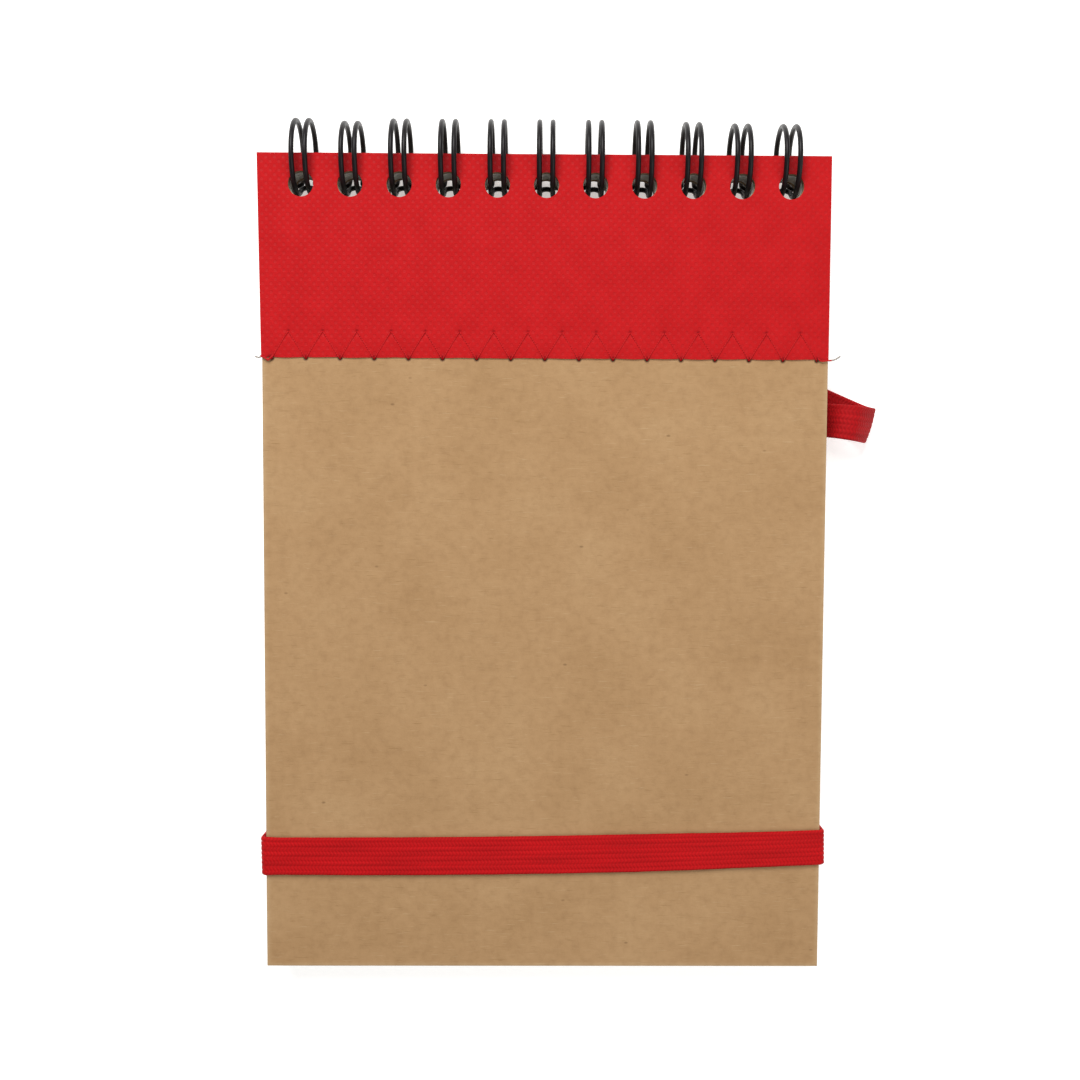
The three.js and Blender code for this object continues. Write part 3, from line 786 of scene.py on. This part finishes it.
def stripBend(x, y):
    # the strip is glued on a touch askew: it stands past the board at the left, most of all by the rings
    reach = halfWidth - strip["stretchFrom"]
    toLeft = np.clip((-x - strip["stretchFrom"]) / reach, 0, 1)
    toRight = np.clip((x - strip["stretchFrom"]) / reach, 0, 1)
    toTop = np.clip((y + strip["stretchFromTop"]) / (book["boardTop"] + strip["stretchFromTop"]), 0, 1)
    fall = np.clip((book["boardTop"] - y) / book["stripLength"], 0, 1)
    past = strip["overhangTop"] + (strip["overhangFoot"] - strip["overhangTop"]) * fall
    wander = strip["edgeWander"] * np.sin(x * 0.31) * np.sin(x * 0.83 + 1.3) * (fall > 0.999)
    return x - past * toLeft + strip["overhangRight"] * toRight, y + wander + strip["overhangRings"] * toTop


def stripPaintedShade(x, y):
    # painted shade round each needle hole of the seam, darkest at the lower row
    lower = nearPuncture(x, y, 0.5, lowerRow) + 0.1 * nearPuncture(x, y, 1.0, lowerRow)
    wireShade = np.zeros(len(x))
    for ringX in ringXs:  # painted shade between and beside the legs of each ring, where the wire hangs over the cloth, from the hole to the top
        wireShade = np.maximum(wireShade, np.exp(-(np.abs(x - ringX - 0.15) / strip["wireShadeHalf"]) ** 4))
    wireShade *= strip["wireShade"] * np.clip((y + 6.5) / 2.5, 0, 1)
    return -np.clip(np.maximum(wireShade, lower + 0.5 * nearPuncture(x, y, 0.26, upperRow)), 0, 1)


stripHoles = [roundHole(x, -book["holeFromAxis"], book["holeRadius"] + 0.04) for x in ringXs]
xs = gridLines(-halfWidth, halfWidth, strip["grid"],
               ringZones + [(px, strip["needleReach"], strip["atNeedle"]) for px, _ in punctures])
ys = gridLines(stripFoot, book["boardTop"], strip["grid"],
               [holeRow, (seamLower + 0.3, seam["gridReach"], strip["atNeedle"]),
                (seamLower + seam["depth"], strip["needleReach"], strip["atNeedle"])])
stripPiece = slab("non_woven_strip", xs, ys, stripTop, stripBottom, stripHoles, 0.0, [red, red],
                  stripPaintedShade, stripBend)
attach(stripPiece, "front_board")
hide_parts("cover_strip")
print("non-woven strip ready")


stitches = {
    "radius": 0.13,
    "sunk": 0.16,  # the needle thread is pulled down into the cloth
    "hemDip": 0.06,  # and lies lower still beside the strip's foot
    "dive": 0.5,
    "diveReach": 0.22,
    "sides": 8,
    "lowerRadius": 0.09,
    "lowerDive": 0.25,
    "lowerReach": 0.3,
    "lowerSides": 6,
    "clear": 0.03,
}


def seamPath(level, dive, reach):
    # along the zigzag, and into the board at every puncture
    steps = (0.05, 0.1, 0.16, 0.24, 0.34, 0.5, 0.8)  # mm from a puncture, closer where the thread bends
    points = []
    for (ax, ay), (bx, by) in zip(punctures[:-1], punctures[1:]):
        length = math.hypot(bx - ax, by - ay)
        for at in (0, *steps, length / 2, *(length - step for step in reversed(steps))):
            x, y = ax + (bx - ax) * at / length, ay + (by - ay) * at / length
            points.append((x, y, level(x, y) + dive * math.exp(-(min(at, length - at) / reach) ** 2)))
    points.append((*punctures[-1], level(*punctures[-1]) + dive))
    return points


def onTop(x, y):
    dip = stitches["hemDip"] * math.exp(-min(abs(y - seamLower), 3) * 2)
    return book["stripTop"] - stitches["clear"] + stitches["radius"] - stitches["sunk"] - dip


def underneath(x, y):
    return book["frontBottom"] - stitches["clear"] - stitches["lowerRadius"]


upperPath = seamPath(onTop, -stitches["dive"], stitches["diveReach"])
upperRings = tubeRings(upperPath, stitches["radius"], stitches["sides"])
upperThread = loft("seam_needle_thread", upperRings, [redThread])
lowerPath = seamPath(underneath, stitches["lowerDive"], stitches["lowerReach"])
lowerRings = tubeRings(lowerPath, stitches["lowerRadius"], stitches["lowerSides"])
lowerThread = loft("seam_bobbin_thread", lowerRings, [redThread])
for piece, node in ((upperThread, "seam_upper_thread"), (lowerThread, "seam_lower_thread")):
    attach(piece, "front_board")
    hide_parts(node)


# the back-tacked ends: a few stitches over each other at each side, and the snipped threads beyond
def threadEnd(name, knots, radius, mat):
    made = loft(name, tubeRings(smoothThrough(knots, 6), radius, 7), [mat])
    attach(made, "front_board")


knotZ = book["stripTop"] + 0.1
knotRadius, endRadius = 0.19, 0.15
firstX, lastX = punctures[0][0], punctures[-1][0]
threadEnd("seam_end_left", [(firstX + 0.3, seamLower + 0.5, knotZ - 0.1),
                            (firstX - 0.1, seamLower + 0.1, knotZ),
                            (firstX - 0.55, seamLower - 0.25, knotZ - 0.02),
                            (firstX - 1.1, seamLower + 0.1, knotZ),
                            (-halfWidth - 0.1, seamLower + 0.35, knotZ - 0.05)], knotRadius, redThread)
threadEnd("seam_end_right", [(lastX + 0.2, seamLower + 0.35, knotZ - 0.1),
                             (lastX + 0.7, seamLower, knotZ - 0.02),
                             (halfWidth - 0.4, seamLower + 0.05, knotZ),
                             (halfWidth + 0.55, seamLower + 0.1, knotZ)], endRadius, redThread)
threadEnd("seam_end_left_snipped", [(-halfWidth, seamLower + 0.32, knotZ - 0.05),
                                    (-halfWidth - 0.5, seamLower + 0.12, knotZ - 0.05),
                                    (-halfWidth - 1.05, seamLower + 0.28, knotZ)], endRadius, greyThread)
threadEnd("seam_end_right_snipped", [(halfWidth + 0.5, seamLower + 0.1, knotZ),
                                     (halfWidth + 1.2, seamLower + 0.32, knotZ + 0.1),
                                     (halfWidth + 1.9, seamLower + 0.78, knotZ + 0.2)], endRadius, greyThread)
print("seam ready")


sheets = {
    "inset": 0.8,
    "pitch": 0.1,
    "thickness": 0.084,
    "air": 0.008,  # over and under each sheet
    "wander": 0.06,  # how unevenly the sheets lie on each other
    "towardsRings": 0.04,  # the most that one may stand past its place there
    "topSheetShift": (0.03, 0.0),
    "holeSides": 30,
    # the top of each bundle and its sheets, from the front board down
    "bundles": (("top_sheet", "first_sheet", 2.225, 1), ("bundle_1", "page_bundle_1", 2.065, 7),
                ("bundle_2", "page_bundle_2", 1.305, 8), ("bundle_3", "page_bundle_3", 0.445, 8),
                ("bundle_4", "page_bundle_4", -0.415, 8), ("bundle_5", "page_bundle_5", -1.275, 8)),
}
sheetX, sheetFoot = halfWidth - sheets["inset"], boardFoot + sheets["inset"]
corners = [(-sheetX, book["boardTop"]), (-sheetX, sheetFoot), (sheetX, sheetFoot), (sheetX, book["boardTop"])]
loops = [[Vector((x, y, 0)) for x, y in corners]]
for ringX in ringXs:
    turns = [2 * math.pi * k / sheets["holeSides"] for k in range(sheets["holeSides"])]
    loops.append([Vector((ringX + book["holeRadius"] * math.cos(t),
                          -book["holeFromAxis"] - book["holeRadius"] * math.sin(t), 0)) for t in turns])
sheetPoints = np.array([tuple(p) for loop in loops for p in loop])
triangles = []
for a, b, c in tessellate_polygon(loops):
    pa, pb, pc = sheetPoints[a], sheetPoints[b], sheetPoints[c]
    up = (pb[0] - pa[0]) * (pc[1] - pa[1]) - (pb[1] - pa[1]) * (pc[0] - pa[0]) > 0
    triangles.append((a, b, c) if up else (a, c, b))
sheetEdges, start = [], 0
for loop in loops:
    sheetEdges += [(start + k, start + (k + 1) % len(loop)) for k in range(len(loop))]
    start += len(loop)
shuffle = random.Random(7)
for body, node, topZ, count in sheets["bundles"]:
    points, faces, uv = [], [], []
    for k in range(count):
        dx, dy = sheets["topSheetShift"]
        if body != "top_sheet":
            dx, dy = (shuffle.uniform(-1, 1) * sheets["wander"] for _ in range(2))
        zTop = topZ - k * sheets["pitch"] - sheets["air"]
        for z in (zTop, zTop - sheets["thickness"]):
            points.append(sheetPoints + np.array((dx, min(dy, sheets["towardsRings"]), z)))
            uv.append(sheetPoints[:, :2] + np.array((0, 0.3 * shuffle.random())))
        base, under = 2 * k * len(sheetPoints), (2 * k + 1) * len(sheetPoints)
        faces += [(base + a, base + b, base + c) for a, b, c in triangles]
        faces += [(under + c, under + b, under + a) for a, b, c in triangles]
        faces += [(base + a, under + a, under + b, base + b) for a, b in sheetEdges]
    cut = ([0] * (2 * len(triangles)) + [1] * len(sheetEdges)) * count
    made = makeMesh(body + "_sheets", np.concatenate(points), faces, [ruledPaper, cutPaper],
                    np.concatenate(uv), cut)
    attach(made, body)
    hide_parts(node)
print("sheets ready")


wire = {
    "ringRadius": 6.2,
    "radius": 0.5,
    "drawnRadius": 0.455,  # drawn slimmer than its solid, as it looks
    "rootGap": 0.15,  # between the strip or back board and the wire's root line
    "legHalf": 1.15,
    "rootBend": 0.9,
    "end": 1.6,
    "tipShortfall": 0.4,
    "lean": 0.11,  # each leg's far side stands this much to the right of its middle
    "leanWobble": 0.03,
    "swellWobble": 0.02,
    "easeIn": 0.5,  # radians from the root line over which the lean and swell set in
    "shorts": {1: 0.45, 8: 0.25, 9: 0.45, 10: 0.5},  # how far these rings, from the left, are squeezed in
    "legSections": 40,
    "sides": 14,
}
rootAngle = math.asin((book["stripTop"] + wire["radius"] + wire["rootGap"]) / wire["ringRadius"]) - math.pi
tipAngle = rootAngle + 2 * math.pi - wire["tipShortfall"] / wire["ringRadius"]
legFrom = rootAngle + wire["rootBend"] / wire["ringRadius"]
legTo = tipAngle - wire["legHalf"] / wire["ringRadius"]
wobble = random.Random(3)


def onRing(x, angle, lean, swell, short=0.0):
    r = wire["ringRadius"] + swell * math.sin(angle - 0.4) - short * max(0, math.cos(angle)) ** 2
    return (x - lean * math.sin(angle), r * math.cos(angle), r * math.sin(angle))


path = [onRing(ringXs[0] - wire["legHalf"] - wire["rootBend"] - wire["end"], rootAngle, 0, 0)]
for i, x in enumerate(ringXs):
    lean = wire["lean"] + wobble.uniform(-wire["leanWobble"], wire["leanWobble"])
    short = wire["shorts"].get(i, 0)
    swell = wobble.uniform(-wire["swellWobble"], wire["swellWobble"])
    bend = [k * math.pi / 10 for k in range(6)]
    corner = [(wire["legHalf"] + wire["rootBend"] * (1 - math.sin(a)),
               rootAngle + wire["rootBend"] * (1 - math.cos(a)) / wire["ringRadius"]) for a in bend]
    legs = [legFrom + (legTo - legFrom) * k / wire["legSections"] for k in range(wire["legSections"] + 1)]
    tip = [(wire["legHalf"] * math.cos(a), legTo + wire["legHalf"] * math.sin(a) / wire["ringRadius"])
           for a in [k * math.pi / 12 for k in range(1, 12)]]
    fade = [min(1, (a - rootAngle) / wire["easeIn"]) for a in legs]
    path += [onRing(x - across, angle, 0, 0) for across, angle in corner]
    path += [onRing(x - wire["legHalf"], a, lean * f, swell * f, short) for a, f in zip(legs[1:], fade[1:])]
    path += [onRing(x - across, angle, lean, swell, short) for across, angle in tip]
    path += [onRing(x + wire["legHalf"], a, lean * f, swell * f, short)
             for a, f in zip(legs[:0:-1], fade[:0:-1])]
    path += [onRing(x + across, angle, 0, 0) for across, angle in reversed(corner)]
path.append(onRing(ringXs[-1] + wire["legHalf"] + wire["rootBend"] + wire["end"], rootAngle, 0, 0))
wirePiece = loft("double_loop_wire", tubeRings(path, wire["drawnRadius"], wire["sides"]), [wireCoat])
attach(wirePiece, "wire")
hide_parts("binding_wire")
print("binding wire ready")


def ribbedSection(centre, across, out, width, thickness, ribs, ribDepth, crown=0.0, perRib=6):
    # one closed outline of a ribbed tape: over the outer face, round the edge and back under the inner one
    centre, across, out = (np.asarray(v, float) for v in (centre, across, out))
    steps = ribs * perRib
    ring = []
    for face in (1, -1):
        for k in range(steps + 1):
            s = (2 * k / steps - 1) * face
            cord = abs(math.sin(math.pi * ribs * (s + 1) / 2)) ** 0.6
            edge = math.sqrt(max(0.0, 1 - max(0.0, (abs(s) - 0.9) / 0.1) ** 2))
            lift = face * (thickness / 2 - ribDepth * (1 - cord)) * max(edge, 0.12)
            ring.append(centre + across * s * width / 2 + out * (lift - crown * s * s))
    return np.array(ring)


def bandRoute():
    # the middle line seen end on: out of the right slot, round the boards, over, and to the left slot
    side, run, tail, r = band["sideX"], band["runZ"], band["tailZ"], band["corner"]
    slot, small = band["slotX"], band["slotCorner"]
    half = [(slot, book["backBottom"] + 1.05), (slot, book["backBottom"] + 0.4), (slot, tail + small)]
    half += [(slot + small * (1 - math.cos(a)), tail + small * (1 - math.sin(a)))
             for a in np.linspace(0.3, 1.57, 5)]
    half += [(x, tail) for x in np.linspace(slot + small + 0.8, side - r - 0.4, 10)]
    half += [(side - r + r * math.sin(a), tail + r - r * math.cos(a)) for a in np.linspace(0, math.pi / 2, 8)]
    half += [(side, z) for z in np.linspace(tail + r + 0.4, run - r - 0.4, 14)]
    half += [(side - r + r * math.cos(a), run - r + r * math.sin(a)) for a in np.linspace(0, math.pi / 2, 8)]
    half += [(x, run) for x in np.linspace(side - r - 0.6, 0.6, 90)]
    return half + [(-x, z) for x, z in reversed(half)]


route = np.array(bandRoute())
rings = []
for (x, z), (hx, hz) in zip(route, headings(route)):
    # a stretched tape: it sags a little over the board, narrows to the right and flares at the left fold
    up = min(1, max(0, (z - band["tailZ"]) / (band["runZ"] - band["tailZ"])))
    middle = 1 / (1 + math.exp((x - 30) / 5)) - 0.25 / (1 + math.exp((x + 40) / 4))
    least = band["width"] - band["narrowing"] * up
    width = least + up * (band["relaxedWidth"] - band["width"] + band["narrowing"]) * middle
    width += up * band["flare"] * math.exp(-((x + band["sideX"]) / 1.6) ** 2)
    width += 0.03 * math.sin(x * 0.9) * math.cos(x * 0.37)
    sag = up * (band["endRise"] - (band["sag"] + band["endRise"]) * (1 - (x / band["sideX"]) ** 2))
    ripple = 0.02 * math.sin(x * 0.5) if z > book["frontBottom"] + 0.5 else 0
    centre = onBand(x, z + ripple, sag)
    across = np.array((-math.sin(band["slant"]), math.cos(band["slant"]), 0))
    out = np.array((hz * math.cos(band["slant"]), hz * math.sin(band["slant"]), -hx))
    rings.append(ribbedSection(centre, across, out, width, band["thickness"], band["ribs"], band["ribDepth"]))
bandPiece = loft("elastic_closing_band", rings, [bandWeave], sharp=75)
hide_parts("elastic_band", "band_tail_left", "band_tail_right")
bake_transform(bandPiece)
print("closing band ready")


crimp = {
    "length": 9.5,
    "width": 2.2,
    "thickness": 0.5,
    "gap": 0.05,
    "dents": (-2.6, 0.0, 2.6),  # where the tool has nipped it
    "dentDepth": 0.14,
    "dentLength": 0.55,
    "dentWidth": 0.75,
}
crimpZ = backTop + crimp["gap"] + crimp["thickness"] / 2
for side, name in ((-1, "left"), (1, "right")):
    rings = []
    for v in np.linspace(-1, 1, 61):
        across = v * crimp["length"] / 2
        capped = max(0.0, (abs(across) - (crimp["length"] - crimp["width"]) / 2) / (crimp["width"] / 2))
        halfX = crimp["width"] / 2 * math.sqrt(max(0.02, 1 - capped ** 2))
        nips = sum(math.exp(-((across - at) / crimp["dentLength"]) ** 2) for at in crimp["dents"])
        ring = []
        for t in np.linspace(0, 2 * math.pi, 28, endpoint=False):
            cx, cz = math.cos(t), math.sin(t)
            px = halfX * math.copysign(abs(cx) ** 0.55, cx)
            pz = (crimp["thickness"] / 2) * math.copysign(abs(cz) ** 0.4, cz)
            if cz > 0:
                pz -= nips * crimp["dentDepth"] * math.exp(-(px / crimp["dentWidth"]) ** 2)
            ring.append(onBand(side * band["slotX"] + px, crimpZ + pz, across))
        rings.append(ring)
    made = loft("crimp_" + name, rings, [tin], sharp=60)
    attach(made, "back_board")
    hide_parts("band_crimp_" + name)
print("crimps ready")


penLoop = {
    "width": 5.9,
    "thickness": 0.5,
    "reach": 9.25,
    "rise": 1.7,  # its highest and lowest points
    "keel": -5.72,
    "tab": 6.0,  # how far each end runs in over the back board
    "gap": 0.04,  # between a tab and the board
    "upperAtEdge": -45.2,  # where each layer's middle crosses the board's side
    "lowerAtEdge": -42.0,
    "fold": -46.3,
    "foldWidth": 6.5,
    "foldSlant": math.radians(16),
    "crown": 0.2,  # the tape's edges curl down by this
    "lowerCrown": 0.3,  # the lower layer's share of it
    "ribs": 7,
    "ribDepth": 0.07,
}


def loopRoute():
    edgeX, reach, half = halfWidth, penLoop["reach"], penLoop["thickness"] / 2
    upper = backTop + penLoop["gap"] + half
    lower = book["backBottom"] - penLoop["gap"] - half
    outer, crown, keel = edgeX + reach - half, penLoop["rise"] - half, penLoop["keel"] + half
    knots = [(edgeX - penLoop["tab"], upper), (edgeX - 2.5, upper), (edgeX + 0.2, upper),
             (edgeX + 0.16 * reach, 0.45 * crown + 0.55 * upper), (edgeX + 0.34 * reach, crown - 0.1),
             (edgeX + 0.62 * reach, crown), (outer - 0.05 * reach, 0.6 * crown + 0.4 * keel),
             (outer, 0.4 * crown + 0.6 * keel), (outer - 0.14 * reach, 0.06 * crown + 0.94 * keel),
             (edgeX + 0.5 * reach, keel), (edgeX + 0.22 * reach, keel + 0.1), (edgeX + 0.04 * reach, lower),
             (edgeX - 2.5, lower), (edgeX - penLoop["tab"], lower)]
    return smoothThrough(knots, 8)


route = loopRoute()
turnAt = int(np.argmax(route[:, 0]))
rings = []
for k, ((x, z), (hx, hz)) in enumerate(zip(route, headings(route))):
    # each layer leaves the board where it was sewn, and both slope down to the same fold
    outAt = np.clip((x - halfWidth) / penLoop["reach"], 0, 1)
    start = penLoop["upperAtEdge"] if k <= turnAt else penLoop["lowerAtEdge"]
    y = start + (penLoop["fold"] - start) * outAt
    lean = math.atan2(start - penLoop["fold"], penLoop["reach"])
    # the tape's slant eases from its own layer's to the fold's
    slant = lean * min(1, outAt * 3) * (1 - outAt) + penLoop["foldSlant"] * outAt
    across = np.array((math.sin(slant), math.cos(slant), 0))
    out = np.array((-hz, 0, hx))
    out = out - across * out.dot(across)
    out /= np.linalg.norm(out)
    width = penLoop["width"] + (penLoop["foldWidth"] - penLoop["width"]) * outAt
    crown = penLoop["crown"] * outAt * (1 if k <= turnAt else penLoop["lowerCrown"])
    rings.append(ribbedSection((x, y, z), across, out, width, penLoop["thickness"], penLoop["ribs"],
                               penLoop["ribDepth"], crown))
loopPiece = loft("elastic_pen_loop", rings, [loopWeave], sharp=75)
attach(loopPiece, "back_board")
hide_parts("pen_loop")

# the bar tack: close zigzag stitches over the lower tab
tack = {
    "length": 4.8,
    "width": 1.4,
    "fromEdge": 3.0,
    "stitches": 15,
    "radius": 0.11,
    "clear": 0.03,
    "arch": 0.12,
}
tackX = halfWidth - tack["fromEdge"]
tackZ = book["backBottom"] - penLoop["gap"] - penLoop["thickness"] - tack["clear"] - tack["radius"]
crossings = 2 * tack["stitches"]
tackLength = tack["length"] - 2 * tack["radius"]
points = []
for k in range(crossings + 1):
    sideways = (k % 2 * 2 - 1) * (tack["width"] / 2 - tack["radius"])
    for share in (0.0, 0.35, 0.65):
        along = ((k + share) / crossings - 0.5) * tackLength
        points.append((tackX + sideways * (1 - 2 * share), penLoop["lowerAtEdge"] + along,
                       tackZ + tack["arch"] * abs(1 - 2 * share) ** 3))
tackPiece = loft("pen_loop_bar_tack", tubeRings(points, tack["radius"], 6), [redThread])
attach(tackPiece, "back_board")
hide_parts("loop_tack")
print("pen loop ready")
